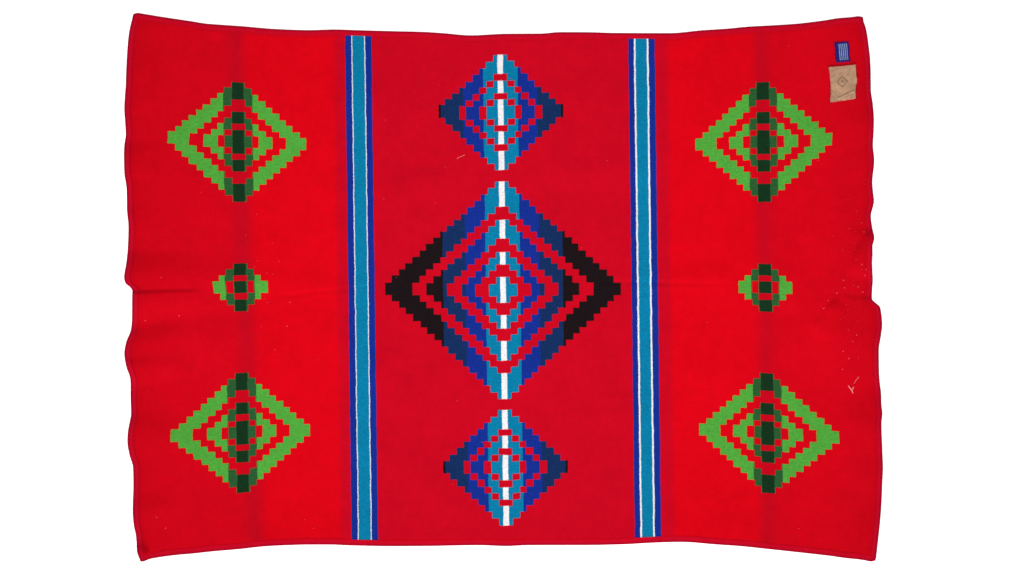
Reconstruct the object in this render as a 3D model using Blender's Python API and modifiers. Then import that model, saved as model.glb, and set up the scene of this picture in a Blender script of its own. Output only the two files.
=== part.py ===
"""A wool blanket laid out face up: one woven panel, four felt binding strips, a woven label and a patch."""

import math

import bpy
import numpy as np

OBJECT_NAME = "WoolBlanket"

# Driving sizes, in metres: the blanket as cut flat, then its layers
BLANKET_LENGTH = 2.03
BLANKET_WIDTH = 1.44
CLOTH_THICKNESS = 0.0024
FELT_THICKNESS = 0.0010
GAP = 0.0003
BINDING_WIDTH = 0.014

# The felt folds round the panel's edge: its inner face turns this far outside that edge
FOLD_REACH = 0.0013
FLAP_DEPTH = BINDING_WIDTH - FOLD_REACH - FELT_THICKNESS
PANEL_LENGTH = BLANKET_LENGTH - 2 * (FOLD_REACH + FELT_THICKNESS)
PANEL_WIDTH = BLANKET_WIDTH - 2 * (FOLD_REACH + FELT_THICKNESS)

# The panel rises onto the felt's lower flap along each edge, and is down again one band further in
EDGE_BAND = 0.0135
EDGE_RISE = FELT_THICKNESS + GAP
MITRE_GAP = 0.00025

# A fold tilts the cloth, which then takes this much more room between the two flaps
TILT_ROOM = 0.0002

# The grid that every piece follows: where each band of cells ends, and how many cells it holds
COLUMN_BANDS = (
    (EDGE_BAND, 1),
    (2 * EDGE_BAND, 1),
    (0.30, 7),
    (PANEL_LENGTH - 0.30, 22),
    (PANEL_LENGTH - 2 * EDGE_BAND, 7),
    (PANEL_LENGTH - EDGE_BAND, 1),
    (PANEL_LENGTH, 1),
)
ROW_BANDS = (
    (EDGE_BAND, 1),
    (2 * EDGE_BAND, 1),
    (0.48, 11),
    (0.82, 18),
    (PANEL_WIDTH - 2 * EDGE_BAND, 15),
    (PANEL_WIDTH - EDGE_BAND, 1),
    (PANEL_WIDTH, 1),
)

# How far the head of the blanket is pushed towards -X of its foot
SKEW = 0.0192

# Each edge's line. Columns: place along the edge from its middle, distance out from the cut size
TOP_EDGE = (
    (-1.015, 0.0320),
    (-0.934, 0.0195),
    (-0.847, 0.0071),
    (-0.800, 0.0000),
    (-0.759, -0.0030),
    (-0.700, -0.0071),
    (-0.628, -0.0135),
    (-0.580, -0.0160),
    (-0.520, -0.0176),
    (-0.450, -0.0158),
    (-0.380, -0.0178),
    (-0.272, -0.0207),
    (-0.215, -0.0221),
    (-0.150, -0.0262),
    (-0.081, -0.0318),
    (0.020, -0.0276),
    (0.110, -0.0271),
    (0.166, -0.0231),
    (0.240, -0.0232),
    (0.310, -0.0251),
    (0.466, -0.0257),
    (0.554, -0.0179),
    (0.620, -0.0136),
    (0.680, -0.0079),
    (0.750, -0.0042),
    (0.817, 0.0001),
    (0.860, 0.0045),
    (0.904, 0.0098),
    (0.940, 0.0150),
    (0.980, 0.0182),
    (1.015, 0.0229),
)
BOTTOM_EDGE = (
    (-1.015, 0.0290),
    (-0.975, 0.0222),
    (-0.910, 0.0135),
    (-0.860, 0.0092),
    (-0.800, 0.0029),
    (-0.735, -0.0026),
    (-0.660, -0.0106),
    (-0.603, -0.0135),
    (-0.540, -0.0153),
    (-0.480, -0.0154),
    (-0.428, -0.0132),
    (-0.370, -0.0118),
    (-0.310, -0.0110),
    (-0.209, -0.0116),
    (-0.078, -0.0138),
    (0.000, -0.0114),
    (0.060, -0.0139),
    (0.228, -0.0142),
    (0.320, -0.0162),
    (0.400, -0.0204),
    (0.475, -0.0226),
    (0.578, -0.0154),
    (0.640, -0.0111),
    (0.710, -0.0038),
    (0.770, 0.0026),
    (0.841, 0.0104),
    (0.885, 0.0154),
    (0.929, 0.0215),
    (0.970, 0.0257),
    (1.015, 0.0341),
)
LEFT_EDGE = (
    (-0.747, -0.0175),
    (-0.720, -0.0056),
    (-0.676, -0.0017),
    (-0.655, 0.0026),
    (-0.616, 0.0053),
    (-0.530, 0.0028),
    (-0.495, 0.0031),
    (-0.457, 0.0125),
    (-0.425, 0.0168),
    (-0.399, 0.0155),
    (-0.375, 0.0114),
    (-0.347, 0.0066),
    (-0.300, 0.0075),
    (-0.254, 0.0066),
    (-0.215, 0.0170),
    (-0.183, 0.0218),
    (-0.150, 0.0159),
    (-0.118, 0.0035),
    (-0.085, 0.0001),
    (-0.022, -0.0027),
    (-0.011, -0.0029),
    (0.000, 0.0030),
    (0.011, 0.0158),
    (0.025, 0.0191),
    (0.066, 0.0133),
    (0.120, 0.0088),
    (0.167, 0.0067),
    (0.215, 0.0102),
    (0.265, 0.0102),
    (0.315, 0.0156),
    (0.364, 0.0161),
    (0.390, 0.0151),
    (0.416, 0.0110),
    (0.450, 0.0123),
    (0.484, 0.0140),
    (0.555, 0.0091),
    (0.600, 0.0070),
    (0.665, 0.0021),
    (0.695, -0.0016),
    (0.725, -0.0086),
    (0.750, -0.0160),
)
RIGHT_EDGE = (
    (-0.750, -0.0056),
    (-0.687, 0.0021),
    (-0.650, 0.0067),
    (-0.616, 0.0101),
    (-0.575, 0.0130),
    (-0.530, 0.0149),
    (-0.492, 0.0168),
    (-0.440, 0.0154),
    (-0.386, 0.0137),
    (-0.370, 0.0139),
    (-0.345, 0.0170),
    (-0.320, 0.0149),
    (-0.295, 0.0152),
    (-0.260, 0.0114),
    (-0.222, 0.0093),
    (-0.172, 0.0090),
    (-0.135, 0.0151),
    (-0.101, 0.0196),
    (-0.080, 0.0184),
    (-0.055, 0.0141),
    (-0.044, 0.0027),
    (-0.033, -0.0070),
    (-0.010, -0.0060),
    (0.020, -0.0037),
    (0.045, -0.0054),
    (0.068, -0.0061),
    (0.090, -0.0049),
    (0.110, -0.0050),
    (0.134, 0.0009),
    (0.160, -0.0030),
    (0.194, -0.0066),
    (0.215, -0.0015),
    (0.235, 0.0028),
    (0.260, 0.0002),
    (0.285, -0.0012),
    (0.347, 0.0048),
    (0.386, 0.0016),
    (0.420, 0.0036),
    (0.462, 0.0050),
    (0.500, 0.0029),
    (0.539, -0.0018),
    (0.590, -0.0016),
    (0.620, -0.0025),
    (0.648, -0.0050),
    (0.706, -0.0131),
    (0.7415, -0.0262),
)

# How deep into the cloth the waves of the two short edges reach
RUFFLE_REACH = 0.16

# Folds standing off the surface. Columns: start x, start y, end x, end y, rise at the start, rise at
# the end, half width. Where a fold is steeper on one side, the half width to the left of its line
# comes first and the one to its right after it; past its ends it goes down over their mean
FOLDS = (
    (-1.030, 0.026, -0.730, 0.018, 0.0105, 0.0025, 0.080, 0.125),
    (-1.010, -0.050, -0.740, -0.042, 0.0020, 0.0005, 0.034, 0.060),
    (-0.740, 0.018, -0.400, 0.004, 0.0025, 0.0010, 0.045),
    (-1.030, -0.165, -0.730, -0.112, 0.0090, 0.0022, 0.062, 0.122),
    (-1.030, 0.352, -0.930, 0.358, 0.0060, 0.0005, 0.050, 0.080),
    (-1.030, 0.190, -0.880, 0.185, 0.0030, 0.0005, 0.050, 0.080),
    (-1.030, -0.396, -0.830, -0.430, 0.0072, 0.0010, 0.066, 0.090),
    (-1.010, -0.610, -0.880, -0.600, 0.0030, 0.0005, 0.050, 0.080),
    (1.045, -0.150, 0.862, -0.130, 0.0098, 0.0042, 0.150, 0.105),
    (1.020, 0.116, 0.930, 0.058, 0.0065, 0.0005, 0.052, 0.042),
    (1.020, 0.450, 0.890, 0.455, 0.0030, 0.0005, 0.080, 0.050),
    (1.040, -0.388, 0.870, -0.375, 0.0075, 0.0008, 0.115, 0.105),
    (1.040, -0.500, 0.900, -0.505, 0.0040, 0.0005, 0.080, 0.048),
    (0.260, 0.030, 0.610, 0.022, 0.0010, 0.0025, 0.050),
    (-0.450, 0.262, -0.170, 0.300, 0.0025, 0.0015, 0.075),
    (0.180, 0.320, 0.380, 0.325, 0.0025, 0.0020, 0.075),
    (-0.450, -0.140, -0.172, -0.345, 0.0025, 0.0015, 0.080),
    (-0.440, -0.340, -0.172, -0.585, 0.0025, 0.0015, 0.080),
    (0.235, -0.345, 0.446, -0.345, 0.0020, 0.0020, 0.070),
)

# The woven label and the patch: width, height, thickness, then place and turn on the cloth
LABEL_SIZE = (0.038, 0.054, 0.0006)
LABEL_PLACE = (0.9275, 0.6425)
LABEL_TURN = math.radians(5)
PATCH_SIZE = (0.075, 0.097, 0.0016)
PATCH_PLACE = (0.9285, 0.5560)
PATCH_TURN = math.radians(3)
PATCH_BULGE = 0.0016
PATCH_TAPER = 0.06

# Base colour as linear red, green and blue, then roughness
WOOL = ((0.58, 0.005, 0.011), 0.95)
FELT = ((0.46, 0.006, 0.022), 0.98)
WOVEN_LABEL = ((0.030, 0.017, 0.165), 0.70)
LEATHER = ((0.46, 0.27, 0.16), 0.60)


def clear_scene():
    for old in list(bpy.data.objects):
        bpy.data.objects.remove(old)


def make_collection(name):
    collection = bpy.data.collections.new(name)
    bpy.context.scene.collection.children.link(collection)
    return collection


def make_material(name, finish):
    colour, roughness = finish
    material = bpy.data.materials.new(name)
    material.use_nodes = True
    shader = material.node_tree.nodes["Principled BSDF"]
    shader.inputs["Base Color"].default_value = (*colour, 1)
    shader.inputs["Roughness"].default_value = roughness
    shader.inputs["Metallic"].default_value = 0
    return material


def lines_of(bands):
    """The grid lines of one direction, with each band cut into even cells."""
    lines = [0.0]
    for end, cells in bands:
        start = lines[-1]
        lines += [start + (end - start) * (i + 1) / cells for i in range(cells)]
    return np.array(lines)


def smooth_line(rows, along):
    """A curve through rows of place and value that turns smoothly at each row and never overshoots one."""
    places, values = np.array(rows).T
    widths = np.diff(places)
    rises = np.diff(values) / widths
    before, after = rises[:-1], rises[1:]
    turning = before * after <= 0
    safe_before = np.where(turning, 1, before)
    safe_after = np.where(turning, 1, after)
    inner = np.where(turning, 0, 2 / (1 / safe_before + 1 / safe_after))
    slopes = np.concatenate([rises[:1], inner, rises[-1:]])
    along = np.clip(along, places[0], places[-1])
    cell = np.clip(np.searchsorted(places, along) - 1, 0, len(widths) - 1)
    share = (along - places[cell]) / widths[cell]
    width = widths[cell]
    start = values[cell] * (1 + 2 * share) * (1 - share) ** 2
    end = values[cell + 1] * (3 - 2 * share) * share**2
    leave = slopes[cell] * width * share * (1 - share) ** 2
    arrive = slopes[cell + 1] * width * share**2 * (share - 1)
    return start + end + leave + arrive


def fold_rise(x, y, fold):
    """One fold: highest on its line, down to nothing at its half width and round its ends."""
    start_x, start_y, end_x, end_y, rise_start, rise_end, *half_widths = fold
    length = np.hypot(end_x - start_x, end_y - start_y)
    run_x, run_y = (end_x - start_x) / length, (end_y - start_y) / length
    along = (x - start_x) * run_x + (y - start_y) * run_y
    to_the_right = (x - start_x) * run_y - (y - start_y) * run_x
    beside = to_the_right / np.where(to_the_right > 0, half_widths[-1], half_widths[0])
    share = np.clip(along / length, 0, 1)
    beyond = (along - share * length) / np.mean(half_widths)
    away = np.clip(beside**2 + beyond**2, 0, 1)
    return (rise_start + (rise_end - rise_start) * share) * (1 - away) ** 2


def lay(along, up):
    """Where a point of the flat panel lies: x, y and how far its underside stands off the surface.

    along and up are measured from the panel's lower left corner. Within an edge band the cloth and
    its binding move as one, so that they keep their distance.
    """
    held_along = np.clip(along, EDGE_BAND, PANEL_LENGTH - EDGE_BAND)
    held_up = np.clip(up, EDGE_BAND, PANEL_WIDTH - EDGE_BAND)
    flat_x = held_along - PANEL_LENGTH / 2
    share_up = (held_up - EDGE_BAND) / (PANEL_WIDTH - 2 * EDGE_BAND)
    top = smooth_line(TOP_EDGE, flat_x)
    bottom = smooth_line(BOTTOM_EDGE, flat_x)
    y = held_up - PANEL_WIDTH / 2 + top * share_up - bottom * (1 - share_up)
    left_hold = np.exp(-(((held_along - EDGE_BAND) / RUFFLE_REACH) ** 2))
    right_hold = np.exp(-(((PANEL_LENGTH - EDGE_BAND - held_along) / RUFFLE_REACH) ** 2))
    ruffle = right_hold * smooth_line(RIGHT_EDGE, y) - left_hold * smooth_line(LEFT_EDGE, y)
    x = flat_x + ruffle - SKEW * y / PANEL_WIDTH
    rise = sum(fold_rise(x, y, fold) for fold in FOLDS)
    return x + along - held_along, y + up - held_up, rise


def edge_rise(along, up):
    """How far the panel climbs onto the lower flap of its binding, which is nothing away from the edges."""
    inset = np.minimum(
        np.minimum(along, PANEL_LENGTH - along), np.minimum(up, PANEL_WIDTH - up)
    )
    return EDGE_RISE * np.clip((2 * EDGE_BAND - inset) / EDGE_BAND, 0, 1)


def grid_piece(name, columns, rows, place, thickness, material):
    """A sheet from a plain grid: place(column, row) puts its corners, and Solidify gives it thickness."""
    bpy.ops.mesh.primitive_grid_add(x_subdivisions=columns, y_subdivisions=rows, size=1)
    piece = bpy.context.object
    piece.name = name
    piece.data.name = name
    corners = np.empty(len(piece.data.vertices) * 3)
    piece.data.vertices.foreach_get("co", corners)
    corners = corners.reshape(-1, 3)
    column = np.rint((corners[:, 0] + 0.5) * columns).astype(int)
    row = np.rint((corners[:, 1] + 0.5) * rows).astype(int)
    piece.data.vertices.foreach_set("co", np.stack(place(column, row), axis=1).ravel())
    piece.data.update()
    piece.data.materials.append(material)
    piece.data.shade_smooth()
    solidify = piece.modifiers.new("Thickness", "SOLIDIFY")
    solidify.thickness = thickness
    solidify.offset = 1
    solidify.use_even_offset = True
    return piece


def make_panel(material):
    columns = lines_of(COLUMN_BANDS)
    rows = lines_of(ROW_BANDS)

    def place(column, row):
        along, up = columns[column], rows[row]
        x, y, rise = lay(along, up)
        return x, y, rise + edge_rise(along, up)

    return grid_piece(
        "cloth_panel", len(columns) - 1, len(rows) - 1, place, CLOTH_THICKNESS, material
    )


def binding_section():
    """The inner face of the folded felt, from the lower flap to the upper. Columns: out, height."""
    lower = FELT_THICKNESS
    upper = FELT_THICKNESS + CLOTH_THICKNESS + 2 * GAP + TILT_ROOM
    return np.array(
        (
            (-FLAP_DEPTH, lower),
            (GAP, lower),
            (FOLD_REACH, (lower + upper) / 2),
            (GAP, upper),
            (-FLAP_DEPTH, upper),
        )
    )


def make_binding(name, bands, side, material):
    """One felt strip, folded over an edge and cut on the mitre at both ends."""
    section = binding_section()
    inner_lines = lines_of(bands)[1:-1]
    length = bands[-1][0]
    last = len(inner_lines) + 1

    def place(column, row):
        out, height = section[row if side in ("right", "bottom") else len(section) - 1 - row].T
        inner = inner_lines[np.clip(column - 1, 0, len(inner_lines) - 1)]
        along = np.where(column == 0, MITRE_GAP - out, inner)
        along = np.where(column == last, length - MITRE_GAP + out, along)
        across = {
            "left": -out,
            "bottom": -out,
            "right": PANEL_LENGTH + out,
            "top": PANEL_WIDTH + out,
        }[side]
        flat = (along, across) if side in ("bottom", "top") else (across, along)
        x, y, rise = lay(*flat)
        return x, y, rise + height

    return grid_piece(name, last, len(section) - 1, place, FELT_THICKNESS, material)


def make_flat_piece(name, size, cells, place_on_cloth, turn, material, bulge=0, taper=0):
    """A label or patch lying on the panel, its right side bowed by bulge and its foot narrower by taper."""
    width, height, thickness = size
    columns, rows = cells

    def place(column, row):
        across = column / columns - 0.5
        upward = row / rows - 0.5
        narrowed = width * (1 + taper * upward)
        bowed = bulge * (across + 0.5) * (1 - 4 * upward**2)
        return across * narrowed + bowed, upward * height, np.zeros(len(row))

    piece = grid_piece(name, columns, rows, place, thickness, material)
    piece.location = (*place_on_cloth, CLOTH_THICKNESS + GAP)
    piece.rotation_euler.z = turn
    return piece


def make_blanket():
    wool = make_material("wool", WOOL)
    felt = make_material("felt", FELT)
    return (
        make_panel(wool),
        make_binding("binding_left", ROW_BANDS, "left", felt),
        make_binding("binding_right", ROW_BANDS, "right", felt),
        make_binding("binding_bottom", COLUMN_BANDS, "bottom", felt),
        make_binding("binding_top", COLUMN_BANDS, "top", felt),
        make_flat_piece(
            "woven_label",
            LABEL_SIZE,
            (3, 4),
            LABEL_PLACE,
            LABEL_TURN,
            make_material("label", WOVEN_LABEL),
        ),
        make_flat_piece(
            "leather_patch",
            PATCH_SIZE,
            (4, 6),
            PATCH_PLACE,
            PATCH_TURN,
            make_material("leather", LEATHER),
            PATCH_BULGE,
            PATCH_TAPER,
        ),
    )


def centre_in_plan(holder, pieces):
    """Moves the holder so that the middle of all its pieces is over the origin."""
    bpy.context.view_layer.update()
    corners = np.array(
        [piece.matrix_world @ vertex.co for piece in pieces for vertex in piece.data.vertices]
    )
    middle = (corners.min(axis=0) + corners.max(axis=0)) / 2
    holder.location = (-middle[0], -middle[1], 0)


def main():
    clear_scene()
    collection = make_collection(OBJECT_NAME)
    holder = bpy.data.objects.new(OBJECT_NAME, None)
    collection.objects.link(holder)
    pieces = make_blanket()
    for piece in pieces:
        for other in list(piece.users_collection):
            other.objects.unlink(piece)
        collection.objects.link(piece)
        piece.parent = holder
    centre_in_plan(holder, pieces)


main()
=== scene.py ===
import math

import bpy
import numpy as np
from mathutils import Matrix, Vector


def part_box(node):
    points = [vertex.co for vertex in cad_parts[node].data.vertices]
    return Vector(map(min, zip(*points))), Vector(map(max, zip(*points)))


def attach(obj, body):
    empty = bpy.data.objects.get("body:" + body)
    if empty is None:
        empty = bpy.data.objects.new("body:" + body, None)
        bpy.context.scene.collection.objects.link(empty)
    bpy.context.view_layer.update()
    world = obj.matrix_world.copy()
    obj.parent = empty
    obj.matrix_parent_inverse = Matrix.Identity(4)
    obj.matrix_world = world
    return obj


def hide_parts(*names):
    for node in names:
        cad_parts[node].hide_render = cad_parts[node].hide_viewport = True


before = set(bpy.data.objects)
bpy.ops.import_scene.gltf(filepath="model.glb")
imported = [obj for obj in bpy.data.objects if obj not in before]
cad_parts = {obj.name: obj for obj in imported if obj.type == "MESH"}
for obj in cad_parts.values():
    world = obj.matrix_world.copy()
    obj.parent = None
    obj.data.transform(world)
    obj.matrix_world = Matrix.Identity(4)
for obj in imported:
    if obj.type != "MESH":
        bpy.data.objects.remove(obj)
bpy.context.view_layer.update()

# Sizes in metres, the same as in the part's own source: the blanket cut flat, then its layers
BLANKET_LENGTH = 2.03
BLANKET_WIDTH = 1.44
CLOTH_THICKNESS = 0.0024
FELT_THICKNESS = 0.0010
GAP = 0.0003
BINDING_WIDTH = 0.014
FOLD_REACH = 0.0013
TILT_ROOM = 0.0002
MITRE_GAP = 0.00025
EDGE_BAND = 0.0135
EDGE_RISE = FELT_THICKNESS + GAP
FLAP_DEPTH = BINDING_WIDTH - FOLD_REACH - FELT_THICKNESS
PANEL_LENGTH = BLANKET_LENGTH - 2 * (FOLD_REACH + FELT_THICKNESS)
PANEL_WIDTH = BLANKET_WIDTH - 2 * (FOLD_REACH + FELT_THICKNESS)
SKEW = 0.0192
RUFFLE_REACH = 0.16

# How much wider than the solids' flaps each upper felt flap was folded
FLAP_EXTRA = {"left": 0.0034, "right": 0.0018, "bottom": 0.0024, "top": 0.0014}

# The cloth is flat again this far in from its edge
CLIMB_END = 0.085

# Each corner is a little rounded, and one droops. Columns: along, up, how far it is drawn in along and
# up, and the reach
CORNERS = (
    (0, 0, 0.0000, -0.0050, 0.020),
    (0, 0, 0.0056, 0.0016, 0.0085),
    (PANEL_LENGTH, 0, 0.0022, 0.0022, 0.0075),
    (0, PANEL_WIDTH, 0.0022, 0.0022, 0.0075),
    (PANEL_LENGTH, PANEL_WIDTH, 0.0018, 0.0018, 0.0070),
)

# Each edge's line. Columns: place along the edge from its middle, distance out from the cut size
TOP_EDGE = (
    (-1.015, 0.0320),
    (-0.934, 0.0195),
    (-0.847, 0.0071),
    (-0.800, 0.0000),
    (-0.759, -0.0030),
    (-0.700, -0.0071),
    (-0.628, -0.0135),
    (-0.580, -0.0160),
    (-0.520, -0.0176),
    (-0.450, -0.0158),
    (-0.380, -0.0178),
    (-0.272, -0.0207),
    (-0.215, -0.0221),
    (-0.150, -0.0262),
    (-0.081, -0.0318),
    (0.020, -0.0276),
    (0.110, -0.0271),
    (0.166, -0.0231),
    (0.240, -0.0232),
    (0.310, -0.0251),
    (0.466, -0.0257),
    (0.554, -0.0179),
    (0.620, -0.0136),
    (0.680, -0.0079),
    (0.750, -0.0042),
    (0.817, 0.0001),
    (0.860, 0.0045),
    (0.904, 0.0098),
    (0.940, 0.0150),
    (0.980, 0.0182),
    (1.015, 0.0229),
)
BOTTOM_EDGE = (
    (-1.015, 0.0290),
    (-0.975, 0.0222),
    (-0.910, 0.0135),
    (-0.860, 0.0092),
    (-0.800, 0.0029),
    (-0.735, -0.0026),
    (-0.660, -0.0106),
    (-0.603, -0.0135),
    (-0.540, -0.0153),
    (-0.480, -0.0154),
    (-0.428, -0.0132),
    (-0.370, -0.0118),
    (-0.310, -0.0110),
    (-0.209, -0.0116),
    (-0.078, -0.0138),
    (0.000, -0.0114),
    (0.060, -0.0139),
    (0.228, -0.0142),
    (0.320, -0.0162),
    (0.400, -0.0204),
    (0.475, -0.0226),
    (0.578, -0.0154),
    (0.640, -0.0111),
    (0.710, -0.0038),
    (0.770, 0.0026),
    (0.841, 0.0104),
    (0.885, 0.0154),
    (0.929, 0.0215),
    (0.970, 0.0257),
    (1.015, 0.0341),
)
LEFT_EDGE = (
    (-0.747, -0.0175),
    (-0.720, -0.0056),
    (-0.676, -0.0017),
    (-0.655, 0.0026),
    (-0.616, 0.0053),
    (-0.530, 0.0028),
    (-0.495, 0.0031),
    (-0.457, 0.0125),
    (-0.425, 0.0168),
    (-0.399, 0.0155),
    (-0.375, 0.0114),
    (-0.347, 0.0066),
    (-0.300, 0.0075),
    (-0.254, 0.0066),
    (-0.215, 0.0170),
    (-0.183, 0.0218),
    (-0.150, 0.0159),
    (-0.118, 0.0035),
    (-0.085, 0.0001),
    (-0.022, -0.0027),
    (-0.011, -0.0029),
    (0.000, 0.0030),
    (0.011, 0.0158),
    (0.025, 0.0191),
    (0.066, 0.0133),
    (0.120, 0.0088),
    (0.167, 0.0067),
    (0.215, 0.0102),
    (0.265, 0.0102),
    (0.315, 0.0156),
    (0.364, 0.0161),
    (0.390, 0.0151),
    (0.416, 0.0110),
    (0.450, 0.0123),
    (0.484, 0.0140),
    (0.555, 0.0091),
    (0.600, 0.0070),
    (0.665, 0.0021),
    (0.695, -0.0016),
    (0.725, -0.0086),
    (0.750, -0.0160),
)
RIGHT_EDGE = (
    (-0.750, -0.0056),
    (-0.687, 0.0021),
    (-0.650, 0.0067),
    (-0.616, 0.0101),
    (-0.575, 0.0130),
    (-0.530, 0.0149),
    (-0.492, 0.0168),
    (-0.440, 0.0154),
    (-0.386, 0.0137),
    (-0.370, 0.0139),
    (-0.345, 0.0170),
    (-0.320, 0.0149),
    (-0.295, 0.0152),
    (-0.260, 0.0114),
    (-0.222, 0.0093),
    (-0.172, 0.0090),
    (-0.135, 0.0151),
    (-0.101, 0.0196),
    (-0.080, 0.0184),
    (-0.055, 0.0141),
    (-0.044, 0.0027),
    (-0.033, -0.0070),
    (-0.010, -0.0060),
    (0.020, -0.0037),
    (0.045, -0.0054),
    (0.068, -0.0061),
    (0.090, -0.0049),
    (0.110, -0.0050),
    (0.134, 0.0009),
    (0.160, -0.0030),
    (0.194, -0.0066),
    (0.215, -0.0015),
    (0.235, 0.0028),
    (0.260, 0.0002),
    (0.285, -0.0012),
    (0.347, 0.0048),
    (0.386, 0.0016),
    (0.420, 0.0036),
    (0.462, 0.0050),
    (0.500, 0.0029),
    (0.539, -0.0018),
    (0.590, -0.0016),
    (0.620, -0.0025),
    (0.648, -0.0050),
    (0.706, -0.0131),
    (0.7415, -0.0262),
)

# Folds that the solids have too. Columns: start x, start y, end x, end y, rise at the start, rise at
# the end, half width. Where a fold is steeper on one side, the half width to the left of its line
# comes first and the one to its right after it; past its ends it goes down over their mean
FOLDS = (
    (-1.030, 0.026, -0.730, 0.018, 0.0105, 0.0025, 0.080, 0.125),
    (-1.010, -0.050, -0.740, -0.042, 0.0020, 0.0005, 0.034, 0.060),
    (-0.740, 0.018, -0.400, 0.004, 0.0025, 0.0010, 0.045),
    (-1.030, -0.165, -0.730, -0.112, 0.0090, 0.0022, 0.062, 0.122),
    (-1.030, 0.352, -0.930, 0.358, 0.0060, 0.0005, 0.050, 0.080),
    (-1.030, 0.190, -0.880, 0.185, 0.0030, 0.0005, 0.050, 0.080),
    (-1.030, -0.396, -0.830, -0.430, 0.0072, 0.0010, 0.066, 0.090),
    (-1.010, -0.610, -0.880, -0.600, 0.0030, 0.0005, 0.050, 0.080),
    (1.045, -0.150, 0.862, -0.130, 0.0098, 0.0042, 0.150, 0.105),
    (1.020, 0.116, 0.930, 0.058, 0.0065, 0.0005, 0.052, 0.042),
    (1.020, 0.450, 0.890, 0.455, 0.0030, 0.0005, 0.080, 0.050),
    (1.040, -0.388, 0.870, -0.375, 0.0075, 0.0008, 0.115, 0.105),
    (1.040, -0.500, 0.900, -0.505, 0.0040, 0.0005, 0.080, 0.048),
    (0.260, 0.030, 0.610, 0.022, 0.0010, 0.0025, 0.050),
    (-0.450, 0.262, -0.170, 0.300, 0.0025, 0.0015, 0.075),
    (0.180, 0.320, 0.380, 0.325, 0.0025, 0.0020, 0.075),
    (-0.450, -0.140, -0.172, -0.345, 0.0025, 0.0015, 0.080),
    (-0.440, -0.340, -0.172, -0.585, 0.0025, 0.0015, 0.080),
    (0.235, -0.345, 0.446, -0.345, 0.0020, 0.0020, 0.070),
)

# Finer creases, which only the fine sheet can show. The same columns, and a negative rise is a trough
CREASES = (
    (-1.015, 0.2960, -0.985, 0.2960, 0.0034, 0.0012, 0.0600, 0.1000),
    (-1.020, -0.0230, -0.868, -0.0175, 0.0058, 0.0036, 0.0130, 0.1080),
    (-1.020, -0.2220, -0.900, -0.2120, 0.0056, 0.0026, 0.0340, 0.0600),
    (-0.600, -0.0235, -0.367, 0.0000, -0.0010, -0.0006, 0.0110),
    (0.263, 0.0140, 0.430, 0.0110, -0.0009, -0.0012, 0.0110),
    (0.430, 0.0110, 0.613, 0.0080, -0.0012, -0.0004, 0.0110),
    (0.905, -0.0340, 1.010, -0.0450, 0.0014, 0.0036, 0.0210, 0.0600),
    (0.896, -0.0570, 0.860, -0.1080, 0.0060, 0.0032, 0.0520, 0.0150),
    (0.805, -0.0360, 0.845, -0.0360, 0.0030, 0.0024, 0.1200, 0.0500),
    (0.993, 0.1260, 0.965, 0.0690, 0.0056, 0.0082, 0.0750, 0.0200),
    (0.968, 0.0400, 0.960, 0.0100, 0.0024, 0.0010, 0.0450, 0.0320),
    (1.005, 0.1420, 0.955, 0.1420, 0.0026, 0.0014, 0.0280, 0.0150),
    (-0.991, -0.7110, -0.975, -0.7350, 0.0080, 0.0110, 0.0120, 0.0400),
    (-0.451, 0.2870, -0.172, 0.3370, -0.0010, -0.0006, 0.0300),
    (0.178, 0.3470, 0.375, 0.3500, -0.0008, -0.0006, 0.0300),
    (-0.438, -0.1120, -0.285, -0.2240, -0.0010, -0.0009, 0.0260),
    (-0.285, -0.2240, -0.172, -0.3200, -0.0009, -0.0005, 0.0260),
    (-0.438, -0.3150, -0.172, -0.5610, -0.0009, -0.0005, 0.0280),
    (0.235, -0.3200, 0.446, -0.3200, -0.0008, -0.0006, 0.0200),
)

# The cloth lies a little loose on the surface, with broad, low waves of these wavelengths
LOOSE_RISE = 0.0012
WAVE_LENGTHS = (0.10, 0.14, 0.19, 0.26, 0.36, 0.52)
WAVE_HEIGHT = 0.00022
WAVE_SEED = 7

# The fine grid: where each band of cells ends, and how many cells it holds
FINE_COLUMNS = (
    (EDGE_BAND, 2),
    (2 * EDGE_BAND, 3),
    (0.30, 38),
    (PANEL_LENGTH - 0.30, 160),
    (PANEL_LENGTH - 2 * EDGE_BAND, 38),
    (PANEL_LENGTH - EDGE_BAND, 3),
    (PANEL_LENGTH, 2),
)
FINE_ROWS = (
    (EDGE_BAND, 2),
    (2 * EDGE_BAND, 3),
    (0.66, 72),
    (0.745, 26),
    (PANEL_WIDTH - 2 * EDGE_BAND, 76),
    (PANEL_WIDTH - EDGE_BAND, 3),
    (PANEL_WIDTH, 2),
)

# The woven label and the patch: width, height, thickness, place and turn on the cloth, how uneven
# they lie and are cut, and how far above the cloth the threads that cross their edges pass
LABEL_SIZE = (0.038, 0.054, 0.0006)
LABEL_PLACE = (0.9275, 0.6425)
LABEL_TURN = math.radians(5)
LABEL_RIB = 0.0011
LABEL_STRIPE_PITCH = 0.0052
LABEL_FIELD_SHIFT = 0.0020
LABEL_MARGINS = (0.0065, 0.0045)
LABEL_DRAW = 0.0006
LABEL_WAVE = 0.0004
LABEL_TOP = 0.0014
PATCH_SIZE = (0.075, 0.097, 0.0016)
PATCH_TOP = 0.0034
PATCH_CORNERS = ((0.8940, 0.5040), (0.9640, 0.5144), (0.8905, 0.6015), (0.9642, 0.6076))
PATCH_BULGE = 0.0042
PATCH_HOLLOW = 0.0030
PATCH_BUCKLE = 0.0005
RAGGED_CUT = 0.0003
ROUGH_EDGE = 0.0024
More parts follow.
